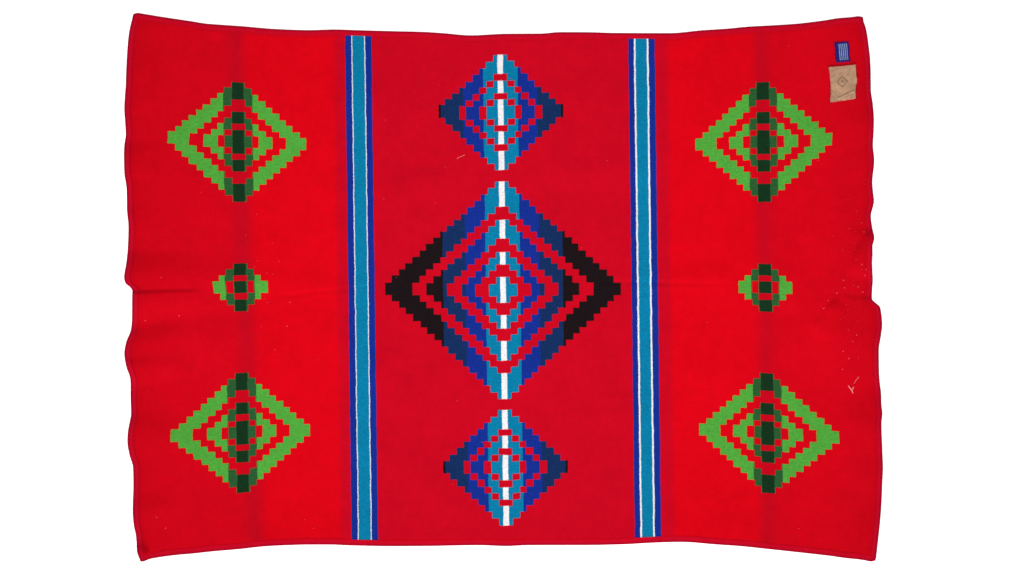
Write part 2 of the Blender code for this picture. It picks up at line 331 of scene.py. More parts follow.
PATCH_CREASES = (
    (0.9190, 0.5165, 0.9580, 0.5357, 0.0019, 0.0017, 0.0038, 0.0060),
    (0.9320, 0.5150, 0.9520, 0.5257, 0.0012, 0.0009, 0.0036, 0.0060),
    (0.9010, 0.5860, 0.9180, 0.5940, 0.0006, 0.0003, 0.0060),
)

# The plain stamped mark in the middle of the patch: place, step, then its rings of steps
STAMP_AT = (0.034, 0.054)
STAMP_STEP = (0.0032, 0.0032)
STAMP_STEPS = 4
STAMP_RINGS = ((0, 1), (1, 0), (3, 1), (5, 0))

# The binding's ends ease from the mitre to the even grid lines over this length, in so many cells
MITRE_EASE = 0.003
MITRE_CELLS = 5

# Sewing: the zigzag, which runs on the felt beside its inner edge and presses that edge down, and the
# overcast stitches round the label and the patch
SEAM_PRESS = 0.0004
SEAM_INSET = 0.0008
STITCH_PITCH = 0.0045
STITCH_WIDTH = 0.0030
THREAD_RADIUS = 0.00022
EDGE_STITCH_PITCH = 0.0024
EDGE_STITCH_REACH = 0.0018
EDGE_THREAD_RADIUS = 0.00055

# Lint caught on the nap, and how far from the middle loose fibres may lie
LINT_SEED = 11
LINT_RADIUS = 0.00055
LINT_ALONG = (-0.97, 0.98)
LINT_ACROSS = (-0.66, 0.66)
TUFT_STRANDS = 6

# Where lint has caught. Columns: middle x and y, spread in x and y, fibres, shortest and longest
LINT_PATCHES = (
    (0.000, 0.000, 0.620, 0.420, 22, 0.002, 0.006),
    (-0.640, 0.020, 0.045, 0.090, 12, 0.002, 0.005),
    (0.955, 0.100, 0.022, 0.200, 16, 0.001, 0.003),
    (0.955, -0.155, 0.020, 0.060, 6, 0.001, 0.003),
)

# Small soft tufts: place and reach
TUFTS = (
    (0.9800, 0.0620, 0.0034),
    (0.9130, -0.0170, 0.0034),
    (0.8760, -0.0580, 0.0034),
    (0.9870, 0.1510, 0.0026),
    (0.9836, -0.0134, 0.0030),
    (0.9923, 0.0479, 0.0026),
    (0.9311, 0.0186, 0.0030),
    (0.9705, 0.0011, 0.0028),
    (0.9893, 0.0317, 0.0024),
    (0.9660, -0.1310, 0.0026),
    (0.9550, -0.1480, 0.0022),
    (0.9300, -0.1750, 0.0026),
    (0.9450, -0.1950, 0.0030),
    (0.9280, -0.2250, 0.0024),
    (0.9340, -0.0020, 0.0022),
    (0.8900, -0.0370, 0.0024),
    (-0.5830, -0.0410, 0.0030),
    (-0.5910, -0.1070, 0.0028),
    (-0.8850, -0.0780, 0.0026),
    (-0.9780, -0.0920, 0.0022),
    (-0.9330, 0.0260, 0.0026),
    (-0.9470, -0.6290, 0.0028),
    (-0.9230, -0.6590, 0.0026),
)

# Single fibres: radius, then the places that each passes through
FIBRES = (
    (0.0016, ((0.9450, -0.2700), (0.9480, -0.2745), (0.9520, -0.2790))),
    (0.0017, ((0.9520, -0.2790), (0.9550, -0.2840), (0.9570, -0.2900))),
    (0.0013, ((0.9535, -0.2845), (0.9560, -0.2785), (0.9590, -0.2725))),
    (0.0006, ((0.9600, -0.2640), (0.9640, -0.2560), (0.9700, -0.2490), (0.9730, -0.2455))),
    (0.0005, ((-0.1260, 0.3500), (-0.1230, 0.3535), (-0.1150, 0.3570), (-0.1050, 0.3612))),
)

# The woven design, in metres on the flat cloth from its middle
WEAVE_CELL = 0.0022
WEAVE_RIB = 0.0034
CENTRE_STEP = (0.0190, 0.0180)
BIG_STEPS = 17
BIG_RINGS = ((0, 1), (2, 0), (4, 1), (6, 0), (8, 1), (11, 0), (13, 1), (17, 0))
SMALL_AT = 0.500
SMALL_STEPS = 9
SMALL_RINGS = ((0, 1), (2, 0), (3, 1), (5, 0), (6, 1), (9, 0))
SIDE_AT = 0.7175
SIDE_STEP = (0.0185, 0.0165)
SIDE_OUT = 0.400
SIDE_STEPS = 10
SIDE_RINGS = ((0, 1), (2, 0), (3, 1), (5, 0), (7, 1), (10, 0))
SIDE_MIDDLE_STEPS = 4
SIDE_MIDDLE_RINGS = ((0, 1), (1, 0), (2, 1), (4, 0))
STRIPE_AT = 0.3870
STRIPE_HALF = 0.0360
CENTRE_HALF = 0.4515

# Colours as they are seen, as red, green and blue from 0 to 255
BRIGHT_RED = (222, 4, 22)
LIVELY_RED = (217, 5, 24)
MEDIUM_RED = (213, 5, 25)
SHADED_RED = (200, 7, 29)
CRIMSON = (202, 7, 31)
BLACK = (27, 20, 22)
NAVY = (20, 46, 92)
ROYAL = (20, 47, 142)
TURQUOISE = (7, 124, 166)
WHITE = (242, 238, 240)
BRIGHT_GREEN = (82, 168, 62)
MIDDLE_GREEN = (43, 92, 50)
DARK_GREEN = (20, 52, 30)
# Painted light and painted shade for the ground's strips beside the lower and upper bindings
PAINTED_LIGHT_RED = (232, 8, 28)
PAINTED_SHADE_RED = (190, 7, 28)
THREAD_CRIMSON = (203, 9, 38)
THREAD_BLUE = (50, 36, 128)
# The patch's overcast thread, dark enough to stand also for the patch's shadow on the cloth: partly painted
# shadow
DARK_THREAD_AND_SHADOW = (122, 8, 22)
LABEL_BLUE = (46, 32, 110)
LABEL_FIELD = (48, 62, 142)
LABEL_STRIPE = (150, 170, 196)
LEATHER_TAN = (187, 147, 118)
LEATHER_STAMP = (126, 104, 84)
LEATHER_EDGE = (222, 140, 122)
LINT_PINK = (252, 74, 92)
LINT_PALE = (255, 150, 150)

# The ground's colours at places along it, blended between them. The shaded column at one end leans
GROUND_BANDS = (
    (-PANEL_LENGTH / 2, MEDIUM_RED),
    (-0.744, MEDIUM_RED),
    (-0.713, SHADED_RED),
    (-0.699, SHADED_RED),
    (-0.668, BRIGHT_RED),
    (-0.456, BRIGHT_RED),
    (-0.448, CRIMSON),
    (0.455, CRIMSON),
    (0.463, BRIGHT_RED),
    (0.682, BRIGHT_RED),
    (0.709, SHADED_RED),
    (0.719, SHADED_RED),
    (0.746, MEDIUM_RED),
    (0.800, LIVELY_RED),
    (0.880, LIVELY_RED),
    (0.940, MEDIUM_RED),
)
LEANING_BEFORE = -0.6
LEAN = 0.026

# Where each colour of the design begins, by distance from a motif's upright middle line
CENTRE_WEFTS = ((0, WHITE), (0.007, TURQUOISE), (0.046, ROYAL), (0.098, NAVY), (0.164, BLACK))
SIDE_WEFTS = ((0, DARK_GREEN), (0.012, MIDDLE_GREEN), (0.037, BRIGHT_GREEN))
STRIPE_WEFTS = ((0, TURQUOISE), (0.014, WHITE), (0.019, ROYAL))

# Each felt strip's colours, which differ by side with painted light and shade: its body, its folded
# outer edge, darkened by painted shade, and its stitched inner edge, with painted shade on the left,
# right and top strips and painted light on the bottom one
FELT_COLOURS_AND_PAINTED_SHADING = {
    "left": ((203, 9, 38), (164, 8, 38), (196, 8, 34)),
    "right": ((203, 9, 38), (162, 8, 38), (193, 8, 34)),
    "bottom": ((208, 9, 37), (164, 9, 38), (216, 9, 36)),
    "top": ((205, 9, 37), (172, 9, 38), (188, 8, 33)),
}

# Where those three colours begin and end, by distance from the felt's fold
FELT_REACH = 0.020
FELT_STOPS = ((0, 1), (0.0022, 1), (0.0088, 0), (0.0125, 0), (0.0155, 2))

# Painted shade on the ground: the share of light kept against distance in from the short ends and
# from the long sides
END_SHADES = (
    (0, 0.82),
    (0.0150, 0.86),
    (0.0200, 0.91),
    (0.0300, 0.94),
    (0.050, 0.96),
    (0.085, 0.985),
    (0.13, 1),
)
SIDE_SHADES = ((0, 0.985), (0.13, 0.985), (0.32, 1))

# Painted light on a narrow strip of the ground beside the lower binding, evening out that binding's
# cast shadow, and painted shade on one beside the upper binding: where the strips end, and how much
# of the other red each takes
STRIP_END = 0.0182
LOWER_PAINTED_LIGHT = 0.8
UPPER_PAINTED_SHADE = 0.5

# The camera looks straight down, with so many metres of the blanket to each of its pixels
PIXEL = 0.002736
FRAME_WIDTH = 1024 * PIXEL
CAMERA_LENS = 85
SENSOR_WIDTH = 36
VIEW_CENTRE = (9 * PIXEL, -1 * PIXEL)

# How much brighter the lit floor is than its own colour: colours are divided by this to be seen as given
LIGHT_GAIN = 1.12

# The studio: a low soft key light from the foot of the view, a lamp overhead, a pale world and floor
KEY_PLACE = (-0.7, -4.6, 2.2)
KEY_STRENGTH = 2.9
KEY_SOFTNESS = math.radians(28)
LAMP_PLACE = (0, -0.12, 2.2)
LAMP_TARGET = (0, -0.12, 0)
LAMP_STRENGTH = 30
LAMP_SIZE = 1.2
WORLD_STRENGTH = 0.25
FLOOR_SIZE = 90
FLOOR_DROP = 0.0002
FLOOR_COLOUR = (0.93, 0.93, 0.93, 1)
FLOOR_GLOW = 0.75
PURE_WHITE = (1, 1, 1, 1)


def linear(colour, gain=LIGHT_GAIN):
    """A seen colour as a surface's own linear colour, with its alpha."""
    parts = [c / 255 for c in colour]
    parts = [c / 12.92 if c <= 0.04045 else ((c + 0.055) / 1.055) ** 2.4 for c in parts]
    return (*(c / gain for c in parts), 1.0)


# The laid shape


def lines_of(bands):
    """The grid lines of one direction, with each band cut into even cells."""
    lines = [0.0]
    for end, cells in bands:
        start = lines[-1]
        lines += [start + (end - start) * (i + 1) / cells for i in range(cells)]
    return np.array(lines)


def smooth_line(rows, along):
    """A curve through rows of place and value that turns smoothly at each row and never overshoots one."""
    places, values = np.array(rows).T
    widths = np.diff(places)
    rises = np.diff(values) / widths
    before, after = rises[:-1], rises[1:]
    turning = before * after <= 0
    safe_before = np.where(turning, 1, before)
    safe_after = np.where(turning, 1, after)
    inner = np.where(turning, 0, 2 / (1 / safe_before + 1 / safe_after))
    slopes = np.concatenate([rises[:1], inner, rises[-1:]])
    along = np.clip(along, places[0], places[-1])
    cell = np.clip(np.searchsorted(places, along) - 1, 0, len(widths) - 1)
    share = (along - places[cell]) / widths[cell]
    width = widths[cell]
    start = values[cell] * (1 + 2 * share) * (1 - share) ** 2
    end = values[cell + 1] * (3 - 2 * share) * share**2
    leave = slopes[cell] * width * share * (1 - share) ** 2
    arrive = slopes[cell + 1] * width * share**2 * (share - 1)
    return start + end + leave + arrive


def fold_rise(x, y, fold):
    """One fold: highest on its line, down to nothing at its half width and round its ends."""
    start_x, start_y, end_x, end_y, rise_start, rise_end, *half_widths = fold
    length = np.hypot(end_x - start_x, end_y - start_y)
    run_x, run_y = (end_x - start_x) / length, (end_y - start_y) / length
    along = (x - start_x) * run_x + (y - start_y) * run_y
    to_the_right = (x - start_x) * run_y - (y - start_y) * run_x
    beside = to_the_right / np.where(to_the_right > 0, half_widths[-1], half_widths[0])
    share = np.clip(along / length, 0, 1)
    beyond = (along - share * length) / np.mean(half_widths)
    away = np.clip(beside**2 + beyond**2, 0, 1)
    return (rise_start + (rise_end - rise_start) * share) * (1 - away) ** 2


def broad_waves(x, y):
    """Low waves in all directions, never below nothing."""
    chance = np.random.default_rng(WAVE_SEED)
    total = np.zeros_like(x)
    for length in WAVE_LENGTHS:
        for _ in range(3):
            turn = chance.uniform(0, math.pi)
            phase = chance.uniform(0, 2 * math.pi)
            run = (x * math.cos(turn) + y * math.sin(turn)) * 2 * math.pi / length
            total += WAVE_HEIGHT * (length / WAVE_LENGTHS[-1]) ** 0.7 * np.sin(run + phase)
    return total


def rise_at(x, y):
    """How far the cloth's underside stands off the surface at a laid place."""
    total = LOOSE_RISE + broad_waves(x, y)
    total = total + sum(fold_rise(x, y, fold) for fold in (*FOLDS, *CREASES))
    return np.maximum(total, 0)


def lay(along, up):
    """Where a point of the flat panel lies: x, y and how far its underside stands off the surface.

    along and up are measured from the panel's lower left corner. Within an edge band the cloth and
    its binding move as one, so that they keep their distance.
    """
    held_along = np.clip(along, EDGE_BAND, PANEL_LENGTH - EDGE_BAND)
    held_up = np.clip(up, EDGE_BAND, PANEL_WIDTH - EDGE_BAND)
    flat_x = held_along - PANEL_LENGTH / 2
    share_up = (held_up - EDGE_BAND) / (PANEL_WIDTH - 2 * EDGE_BAND)
    top = smooth_line(TOP_EDGE, flat_x)
    bottom = smooth_line(BOTTOM_EDGE, flat_x)
    y = held_up - PANEL_WIDTH / 2 + top * share_up - bottom * (1 - share_up)
    left_hold = np.exp(-(((held_along - EDGE_BAND) / RUFFLE_REACH) ** 2))
    right_hold = np.exp(-(((PANEL_LENGTH - EDGE_BAND - held_along) / RUFFLE_REACH) ** 2))
    ruffle = right_hold * smooth_line(RIGHT_EDGE, y) - left_hold * smooth_line(LEFT_EDGE, y)
    x = flat_x + ruffle - SKEW * y / PANEL_WIDTH
    rise = rise_at(x, y)
    x = x + along - held_along
    y = y + up - held_up
    for corner_along, corner_up, drawn_x, drawn_y, reach in CORNERS:
        near = np.exp(-((along - corner_along) ** 2 + (up - corner_up) ** 2) / reach**2)
        x = x + near * (drawn_x if corner_along == 0 else -drawn_x)
        y = y + near * (drawn_y if corner_up == 0 else -drawn_y)
    return x, y, rise


def edge_rise(along, up):
    """How far the panel climbs onto the lower flap of its binding, which is nothing away from the edges."""
    inset = np.minimum(
        np.minimum(along, PANEL_LENGTH - along), np.minimum(up, PANEL_WIDTH - up)
    )
    return EDGE_RISE * np.clip((CLIMB_END - inset) / (CLIMB_END - EDGE_BAND), 0, 1)


def flat_place(x, y):
    """The point of the flat panel that lies at a laid place, found by steps."""
    along, up = x + PANEL_LENGTH / 2, y + PANEL_WIDTH / 2
    for _ in range(4):
        laid_x, laid_y = lay(along, up)[:2]
        along, up = along + x - laid_x, up + y - laid_y
    return along, up


def face_height(x, y):
    """How high the cloth's upper face is at a laid place."""
    along, up = flat_place(x, y)
    return lay(along, up)[2] + edge_rise(along, up) + CLOTH_THICKNESS


def frame_offset():
    """From the laid shape's own middle to the frame's: the solids are centred on their box."""
    along, up = np.meshgrid(lines_of(FINE_COLUMNS), lines_of(FINE_ROWS))
    x, y, _ = lay(along, up)
    low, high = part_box("cloth_panel")
    return (low[0] + high[0] - x.min() - x.max()) / 2, (low[1] + high[1] - y.min() - y.max()) / 2


OFFSET_X, OFFSET_Y = frame_offset()


# Meshes


def shown(piece, material):
    """Gives a finished piece its material and says what it rides on."""
    piece.data.materials.clear()
    piece.data.materials.append(material)
    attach(piece, "root")
    return piece


def grid_piece(name, columns, rows, place, thickness, flat):
    """A closed sheet from a plain grid: place(column, row) puts its corners, flat(column, row) its UVs."""
    bpy.ops.mesh.primitive_grid_add(x_subdivisions=columns, y_subdivisions=rows, size=1)
    sheet = bpy.context.object
    mesh = sheet.data
    corners = np.empty(len(mesh.vertices) * 3)
    mesh.vertices.foreach_get("co", corners)
    corners = corners.reshape(-1, 3)
    column = np.rint((corners[:, 0] + 0.5) * columns).astype(int)
    row = np.rint((corners[:, 1] + 0.5) * rows).astype(int)
    x, y, z = place(column, row)
    mesh.vertices.foreach_set("co", np.stack((x + OFFSET_X, y + OFFSET_Y, z), axis=1).ravel())
    used = np.empty(len(mesh.loops), dtype=int)
    mesh.loops.foreach_get("vertex_index", used)
    for old in list(mesh.uv_layers):
        mesh.uv_layers.remove(old)
    layer = mesh.uv_layers.new(name="flat")
    layer.uv.foreach_set("vector", np.stack(flat(column, row), axis=1)[used].ravel())
    mesh.update()
    solidify = sheet.modifiers.new("Thickness", "SOLIDIFY")
    solidify.thickness = thickness
    solidify.offset = 1
    solidify.use_even_offset = True
    return applied(sheet, name)


def applied(source, name):
    """The object with its modifiers made real, smooth but for its sharp rims."""
    graph = bpy.context.evaluated_depsgraph_get()
    mesh = bpy.data.meshes.new_from_object(source.evaluated_get(graph))
    mesh.name = name
    piece = bpy.data.objects.new(name, mesh)
    piece.matrix_world = source.matrix_world
    bpy.context.scene.collection.objects.link(piece)
    bpy.data.objects.remove(source)
    mesh.shade_smooth()
    mesh.set_sharp_from_angle(angle=math.radians(50))
    return piece


def thread_piece(name, runs, radius):
    """Thread or fibre as one curve object: each run is a list of points, drawn four-sided."""
    curve = bpy.data.curves.new(name, "CURVE")
    curve.dimensions = "3D"
    curve.bevel_depth = radius
    curve.bevel_resolution = 0
    curve.use_fill_caps = True
    for run in runs:
        spline = curve.splines.new("POLY")
        spline.points.add(len(run) - 1)
        spline.points.foreach_set("co", np.column_stack((run, np.ones(len(run)))).ravel())
    piece = bpy.data.objects.new(name, curve)
    bpy.context.scene.collection.objects.link(piece)
    return piece


# Node sums


class Field:
    """A number that varies over a surface. Sums written with Fields become Math nodes."""

    def __init__(self, tree, socket):
        self.tree = tree
        self.socket = socket

    def node(self, operation, *others):
        made = self.tree.nodes.new("ShaderNodeMath")
        made.operation = operation
        for slot, term in zip(made.inputs, (self, *others)):
            if isinstance(term, Field):
                self.tree.links.new(term.socket, slot)
            else:
                slot.default_value = term
        return Field(self.tree, made.outputs[0])

    def __add__(self, other):
        return self.node("ADD", other)

    def __sub__(self, other):
        return self.node("SUBTRACT", other)

    def __mul__(self, other):
        return self.node("MULTIPLY", other)

    def __truediv__(self, other):
        return self.node("DIVIDE", other)

    def __abs__(self):
        return self.node("ABSOLUTE")

    def floor(self):
        return self.node("FLOOR")

    def below(self, limit):
        return self.node("LESS_THAN", limit)

    def above(self, limit):
        return self.node("GREATER_THAN", limit)

    def at_most(self, other):
        return self.node("MINIMUM", other)

    def at_least(self, other):
        return self.node("MAXIMUM", other)

    def sine(self):
        return self.node("SINE")


class Cloth:
    """A material being made: its node tree, its shader and the flat coordinates of its surface."""

    def __init__(self, name, roughness):
        self.material = bpy.data.materials.new(name)
        self.material.use_nodes = True
        self.tree = self.material.node_tree
        self.shader = self.tree.nodes["Principled BSDF"]
        self.shader.inputs["Roughness"].default_value = roughness
        self.shader.inputs["Specular IOR Level"].default_value = 0.02
        uv = self.tree.nodes.new("ShaderNodeUVMap")
        uv.uv_map = "flat"
        self.flat = uv.outputs["UV"]
        parts = self.tree.nodes.new("ShaderNodeSeparateXYZ")
        self.tree.links.new(self.flat, parts.inputs[0])
        self.along = Field(self.tree, parts.outputs["X"])
        self.up = Field(self.tree, parts.outputs["Y"])

    def noise(self, size, detail=2, stretch=1.0, shift=0.0):
        """Noise from 0 to 1 with features of about this size in metres, longer along X by stretch."""
        mapping = self.tree.nodes.new("ShaderNodeMapping")
        mapping.inputs["Scale"].default_value = (1 / stretch, 1, 1)
        mapping.inputs["Location"].default_value = (shift, shift, shift)
        self.tree.links.new(self.flat, mapping.inputs["Vector"])
        made = self.tree.nodes.new("ShaderNodeTexNoise")
        made.inputs["Scale"].default_value = 1 / size
        made.inputs["Detail"].default_value = detail
        self.tree.links.new(mapping.outputs[0], made.inputs["Vector"])
        return Field(self.tree, made.outputs["Fac"])

    def specks(self, spacing, radius, share):
        """1 on small dots, of which only this share of the cells that far apart holds one."""
        made = self.tree.nodes.new("ShaderNodeTexVoronoi")
        made.inputs["Scale"].default_value = 1 / spacing
        self.tree.links.new(self.flat, made.inputs["Vector"])
        picked = self.tree.nodes.new("ShaderNodeSeparateColor")
        self.tree.links.new(made.outputs["Color"], picked.inputs[0])
        near = Field(self.tree, made.outputs["Distance"]).below(radius / spacing)
        return near * Field(self.tree, picked.outputs["Red"]).below(share)

    def ramp(self, field, stops, smooth=False):
        """A colour for each stretch of the field. stops: place from 0 to 1, then colour."""
        made = self.tree.nodes.new("ShaderNodeValToRGB")
        ramp = made.color_ramp
        ramp.interpolation = "LINEAR" if smooth else "CONSTANT"
        while len(ramp.elements) < len(stops):
            ramp.elements.new(1.0)
        for element, (place, colour) in zip(ramp.elements, stops):
            element.position = place
            element.color = colour
        self.tree.links.new(field.socket, made.inputs[0])
        return made.outputs["Color"]

    def mix(self, share, first, second, blend="MIX"):
        """first where share is 0, second where it is 1. Each is a colour or a colour's socket."""
        made = self.tree.nodes.new("ShaderNodeMix")
        made.data_type = "RGBA"
        made.blend_type = blend
        if isinstance(share, Field):
            self.tree.links.new(share.socket, made.inputs["Factor"])
        else:
            made.inputs["Factor"].default_value = share
        for slot, colour in ((made.inputs[6], first), (made.inputs[7], second)):
            if isinstance(colour, tuple):
                slot.default_value = colour
            else:
                self.tree.links.new(colour, slot)
        return made.outputs[2]

    def mottled(self, colour, amount, *fields):
        """The colour made lighter and darker by up to amount, as the fields' mean goes from 0 to 1."""
        total = fields[0]
        for field in fields[1:]:
            total = total + field
        shade = total * (2 * amount / len(fields)) + (1 - amount)
        grey = self.tree.nodes.new("ShaderNodeCombineColor")
        for slot in grey.inputs[:3]:
            self.tree.links.new(shade.socket, slot)
        return self.mix(1.0, colour, grey.outputs[0], "MULTIPLY")

    def bump(self, height, distance, strength=1.0):
        made = self.tree.nodes.new("ShaderNodeBump")
        made.inputs["Strength"].default_value = strength
        made.inputs["Distance"].default_value = distance
        self.tree.links.new(height.socket, made.inputs["Height"])
        self.tree.links.new(made.outputs[0], self.shader.inputs["Normal"])

    def colour(self, socket):
        self.tree.links.new(socket, self.shader.inputs["Base Color"])

    def sheen(self, weight, tint):
        self.shader.inputs["Sheen Weight"].default_value = weight
        self.shader.inputs["Sheen Tint"].default_value = linear(tint, 1)
        self.shader.inputs["Sheen Roughness"].default_value = 0.5


# The woven design


def ring_mask(cloth, steps, count, rings):
    """1 on the rings of a stepped diamond. rings: the step where each ring or space starts, then 1 or 0."""
    stops = [(max(start - 0.5, 0) / (count + 1), (on, on, on, 1)) for start, on in rings]
    colour = cloth.ramp(steps / (count + 1), stops)
    return Field(cloth.tree, colour)


def stepped(x, y, step):
    """How many steps a place is from a diamond's middle."""
    return (abs(x) / step[0]).floor() + (abs(y) / step[1]).floor()


def grey_ramp(cloth, field, shades):
    """A painted shade that varies with a distance. shades: distance, then the share of light kept there."""
    reach = shades[-1][0]
    stops = [(place / reach, (share, share, share, 1)) for place, share in shades]
    return cloth.ramp(field / reach, stops, smooth=True)


def ground_colour(cloth, x, y):
    """The red ground: crimson in the middle, brighter beside it, a shaded column at each side, painted
    shade towards its ends and, outside the middle field, its long sides, and painted light and shade by its
    long bindings.
    """
    half = PANEL_LENGTH / 2
    stops = [((place + half) / (2 * half), linear(colour)) for place, colour in GROUND_BANDS]
    leaning = x + x.below(LEANING_BEFORE) * y * LEAN
    ground = cloth.ramp((leaning + half) / (2 * half), stops, smooth=True)
    # Painted shade: darker towards the short ends, and outside the middle field towards the long sides too
    inset = abs(x) * -1 + half
    ground = cloth.mix(1.0, ground, grey_ramp(cloth, inset, END_SHADES), "MULTIPLY")
    inset = abs(y) * -1 + PANEL_WIDTH / 2
    shaded = cloth.mix(1.0, ground, grey_ramp(cloth, inset, SIDE_SHADES), "MULTIPLY")
    ground = cloth.mix(abs(x).above(CENTRE_HALF), ground, shaded)
    # Painted light beside the lower binding and painted shade beside the upper one
    lower = (y + PANEL_WIDTH / 2).below(STRIP_END) * LOWER_PAINTED_LIGHT
    upper = y.above(PANEL_WIDTH / 2 - STRIP_END) * UPPER_PAINTED_SHADE
    ground = cloth.mix(lower, ground, linear(PAINTED_LIGHT_RED))
    return cloth.mix(upper, ground, linear(PAINTED_SHADE_RED))


def design_colours(cloth, x, y):
    """The motif mask and the colour that each place's weft shows where the mask is 1."""
    across = abs(x)
    big = ring_mask(cloth, stepped(x, y, CENTRE_STEP), BIG_STEPS, BIG_RINGS)
    small = ring_mask(cloth, stepped(x, abs(y) - SMALL_AT, CENTRE_STEP), SMALL_STEPS, SMALL_RINGS)
    from_side = abs(across - SIDE_AT)
    outer = ring_mask(
        cloth, stepped(from_side, abs(y) - SIDE_OUT, SIDE_STEP), SIDE_STEPS, SIDE_RINGS
    )
    middle = ring_mask(
        cloth, stepped(from_side, y, SIDE_STEP), SIDE_MIDDLE_STEPS, SIDE_MIDDLE_RINGS
    )
    from_stripe = abs(across - STRIPE_AT)
    stripe = from_stripe.below(STRIPE_HALF)
    mask = big.at_least(small).at_least(outer).at_least(middle).at_least(stripe)
    centre_colour, side_colour, stripe_colour = (
        cloth.ramp(distance, [(place, linear(colour)) for place, colour in wefts])
        for distance, wefts in (
            (across, CENTRE_WEFTS), (from_side, SIDE_WEFTS), (from_stripe, STRIPE_WEFTS)
        )
    )
    weft = cloth.mix(across.above(CENTRE_HALF), centre_colour, side_colour)
    return mask, cloth.mix(stripe, weft, stripe_colour)


def wool_material(name, reverse=False):
    """The napped weave, with the design on its face and, its colours exchanged, on its back."""
    cloth = Cloth(name, 0.95)
    fuzz = cloth.noise(0.0012, detail=1)
    wander = cloth.noise(0.030, detail=1, shift=3.1)
    shake = (fuzz - 0.5) * 0.0060 + (wander - 0.5) * 0.0030
    along = cloth.along + shake
    up = cloth.up + shake
    x = (along / WEAVE_CELL).floor() * WEAVE_CELL + (WEAVE_CELL / 2 - PANEL_LENGTH / 2)
    y = (up / WEAVE_CELL).floor() * WEAVE_CELL + (WEAVE_CELL / 2 - PANEL_WIDTH / 2)
    mask, weft = design_colours(cloth, x, y)
    ground = ground_colour(cloth, x, y)
    nap = cloth.noise(0.0045, detail=3, stretch=2.5)
    weft = cloth.mottled(weft, 0.45, nap, cloth.noise(0.0060, detail=2, shift=8.1))
    if reverse:
        colour = cloth.mix(mask, weft, ground)
    else:
        colour = cloth.mix(mask, ground, weft)
    blotches = cloth.noise(0.060, detail=3, shift=1.7)
    colour = cloth.mottled(colour, 0.19, blotches, cloth.noise(0.018, detail=2, shift=5.3))
    colour = cloth.mottled(colour, 0.07, nap)
    flecks = cloth.specks(0.040, 0.0011, 0.14)
    colour = cloth.mix(flecks * 0.5, colour, linear(LINT_PINK))
    cloth.colour(colour)
    cloth.sheen(0.04, (255, 10, 30))
    ribs = (cloth.up * (2 * math.pi / WEAVE_RIB)).sine() * 0.15
    cloth.bump(nap + cloth.noise(0.0020, detail=2, stretch=1.8) + ribs, 0.0008, 0.22)
    return cloth.material


def felt_material(side):
    """Dense felt, with painted shade along its folded outer edge, and along its stitched inner edge painted
    light on the bottom strip and painted shade on the others.
    """
    cloth = Cloth(f"felt_{side}", 0.98)
    fibres = cloth.noise(0.0035, detail=3, stretch=1.6)
    patches = cloth.noise(0.030, detail=2, shift=2.2)
    colours = [linear(colour) for colour in FELT_COLOURS_AND_PAINTED_SHADING[side]]
    stops = [(place / FELT_REACH, colours[index]) for place, index in FELT_STOPS]
    felt = cloth.ramp(abs(cloth.up) / FELT_REACH, stops, smooth=True)
    cloth.colour(cloth.mottled(felt, 0.20, fibres, patches))
    cloth.bump(fibres + patches * 0.6, 0.0007, 0.4)
    return cloth.material


def thread_material(name, colour):
    cloth = Cloth(name, 0.7)
    cloth.colour(cloth.mottled(linear(colour), 0.1, cloth.noise(0.002)))
    return cloth.material


def label_material():
    """Blue woven ribbon: fine ribs across it, and a paler middle with a few plain stripes."""
    cloth = Cloth("label_blue", 0.6)
    ribs = (cloth.up * (2 * math.pi / LABEL_RIB)).sine()
    grain = cloth.noise(0.0012, detail=1)
    width, height, _ = LABEL_SIZE
    across = abs(cloth.along - width / 2 - LABEL_FIELD_SHIFT)
    upward = abs(cloth.up - height / 2)
    side_margin, end_margin = LABEL_MARGINS
    field = across.below(width / 2 - side_margin) * upward.below(height / 2 - end_margin)
    blues = cloth.mix(field, linear(LABEL_BLUE), linear(LABEL_FIELD))
    stripes = (cloth.along * (2 * math.pi / LABEL_STRIPE_PITCH)).sine().above(0.1)
    blues = cloth.mix(field * stripes * 0.8, blues, linear(LABEL_STRIPE))
    cloth.colour(cloth.mottled(blues, 0.16, grain, cloth.noise(0.006, shift=1.0)))
    cloth.bump(ribs * 0.5 + grain, 0.0003, 0.5)
    return cloth.material


def leather_material():
    """Tan split leather, paler and pinker where its cut edge is rough."""
    cloth = Cloth("leather_tan", 0.62)
    width, height, _ = PATCH_SIZE
    inset = (cloth.along.at_most(cloth.along * -1 + width)).at_most(
        cloth.up.at_most(cloth.up * -1 + height)
    )
    ragged = inset + (cloth.noise(0.006, detail=2) - 0.5) * 0.004
    blotches = cloth.noise(0.014, detail=3, shift=4.0)
    grain = cloth.noise(0.0040, detail=3)
    tan = cloth.mottled(linear(LEATHER_TAN), 0.85, blotches, grain)
    steps = stepped(cloth.along - STAMP_AT[0], cloth.up - STAMP_AT[1], STAMP_STEP)
    stamp = ring_mask(cloth, steps, STAMP_STEPS, STAMP_RINGS) * grain.above(0.44)
    tan = cloth.mix(stamp * 0.75, tan, linear(LEATHER_STAMP))
    cloth.colour(cloth.mix(ragged.below(ROUGH_EDGE), tan, linear(LEATHER_EDGE)))
    cloth.bump(grain + blotches * 0.5, 0.0006, 0.5)
    return cloth.material


def floor_material():
    """A white floor, lit a little from beneath as on a light table."""
    cloth = Cloth("studio_floor", 0.9)
    cloth.shader.inputs["Base Color"].default_value = FLOOR_COLOUR
    cloth.shader.inputs["Emission Color"].default_value = PURE_WHITE
    cloth.shader.inputs["Emission Strength"].default_value = FLOOR_GLOW
    return cloth.material


# Pieces


